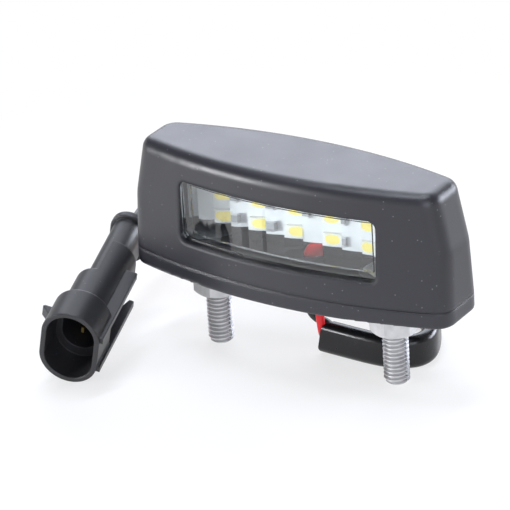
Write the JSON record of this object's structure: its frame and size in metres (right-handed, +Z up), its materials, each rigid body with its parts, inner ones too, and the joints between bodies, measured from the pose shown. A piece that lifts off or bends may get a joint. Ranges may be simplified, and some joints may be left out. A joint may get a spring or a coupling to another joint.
{
  "type": "number plate lamp",
  "caption": "Small LED number plate lamp: black lens-shaped housing with a clear fluted window in one long side, stud mounting below, and a short sleeved lead to an oval plug.",
  "frame": {"origin": "middle of the base's flat underside, halfway between the two mounting studs", "axes": "+X along the lamp, -Y the way the window looks, +Z up out of the mounting surface"},
  "size_m": [0.0996, 0.0734, 0.051],
  "materials": {
    "housing_plastic": "moulded ABS, satin black",
    "connector_plastic": "moulded nylon, satin black",
    "lens_clear": "clear polycarbonate, polished, fluted inside",
    "zinc_steel": "steel, bright zinc plated",
    "board_white": "white solder resist on glass epoxy",
    "led_case": "white reflector cup",
    "led_phosphor": "yellow silicone phosphor",
    "resistor_black": "glazed chip resistor",
    "diode_black": "moulded epoxy",
    "rubber_black": "black rubber",
    "wire_red": "red PVC insulation",
    "wire_black": "black PVC insulation",
    "sleeve_black": "black PVC tube, glossy",
    "terminal_brass": "tinned brass"
  },
  "bodies": {
    "root": {"base_plate": "housing_plastic", "black_wire": "wire_black", "cable_sleeve": "sleeve_black", "circuit_board": "board_white", "connector_shell": "connector_plastic", "housing": "housing_plastic", "led_lower_1": "led_case", "led_lower_2": "led_case", "led_lower_3": "led_case", "led_lower_4": "led_case", "led_lower_5": "led_case", "led_upper_1": "led_case", "led_upper_2": "led_case", "led_upper_3": "led_case", "led_upper_4": "led_case", "led_upper_5": "led_case", "lens": "lens_clear", "mounting_studs": "zinc_steel", "phosphor_lower_1": "led_phosphor", "phosphor_lower_2": "led_phosphor", "phosphor_lower_3": "led_phosphor", "phosphor_lower_4": "led_phosphor", "phosphor_lower_5": "led_phosphor", "phosphor_upper_1": "led_phosphor", "phosphor_upper_2": "led_phosphor", "phosphor_upper_3": "led_phosphor", "phosphor_upper_4": "led_phosphor", "phosphor_upper_5": "led_phosphor", "protection_diode": "diode_black", "red_wire": "wire_red", "resistor_lower_1": "resistor_black", "resistor_lower_2": "resistor_black", "resistor_lower_4": "resistor_black", "resistor_upper_1": "resistor_black", "resistor_upper_2": "resistor_black", "resistor_upper_3": "resistor_black", "resistor_upper_4": "resistor_black", "stud_nuts": "zinc_steel", "stud_washers": "zinc_steel", "terminal_lower": "terminal_brass", "terminal_upper": "terminal_brass", "wire_grommet": "rubber_black", "wire_seal_lower": "rubber_black", "wire_seal_upper": "rubber_black"}
  },
  "joints": []
}
